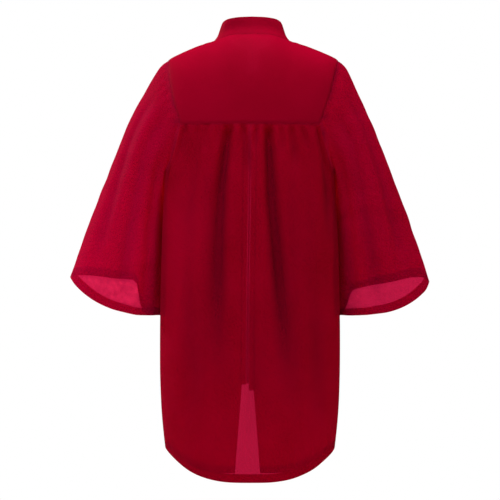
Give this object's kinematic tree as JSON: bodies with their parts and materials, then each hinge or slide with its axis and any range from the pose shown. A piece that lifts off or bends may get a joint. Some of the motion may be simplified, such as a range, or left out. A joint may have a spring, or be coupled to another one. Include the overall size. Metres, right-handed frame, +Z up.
{
  "type": "graduation gown",
  "caption": "Hollow worn graduation gown with bell sleeves, a stand collar, a straight back yoke with gathers below it and a front zip that ends above the curved hem.",
  "frame": {"origin": "on the centre line, level with the points where the shoulder seams meet the collar, where the wearer's shoulders hold the gown", "axes": "+Z up the body, -Y out of the back of the gown, +X towards the wearer's right"},
  "size_m": [0.924, 0.3389, 1.1749],
  "materials": {
    "crimson_polyester": "thin matte woven polyester, a little see-through in one layer",
    "zip_tape": "matte woven tape",
    "zip_coil": "satin nylon coil",
    "nickel": "nickel-plated zinc"
  },
  "bodies": {
    "gown": {"back_yoke": "crimson_polyester", "back_panel": "crimson_polyester", "front_left": "crimson_polyester", "front_right": "crimson_polyester", "collar": "crimson_polyester", "sleeve_left": "crimson_polyester", "sleeve_right": "crimson_polyester", "zip_tape_left": "zip_tape", "zip_tape_right": "zip_tape", "zip_chain": "zip_coil", "zip_slider": "nickel"},
    "pull_tab": {"zip_pull": "nickel"}
  },
  "joints": [
    {"name": "pull_tab_hinge", "type": "hinge", "parent": "gown", "child": "pull_tab", "pos_m": [0, 0.10123, -0.08108], "axis": [1, 0, 0], "range_deg": [0, 150]}
  ]
}
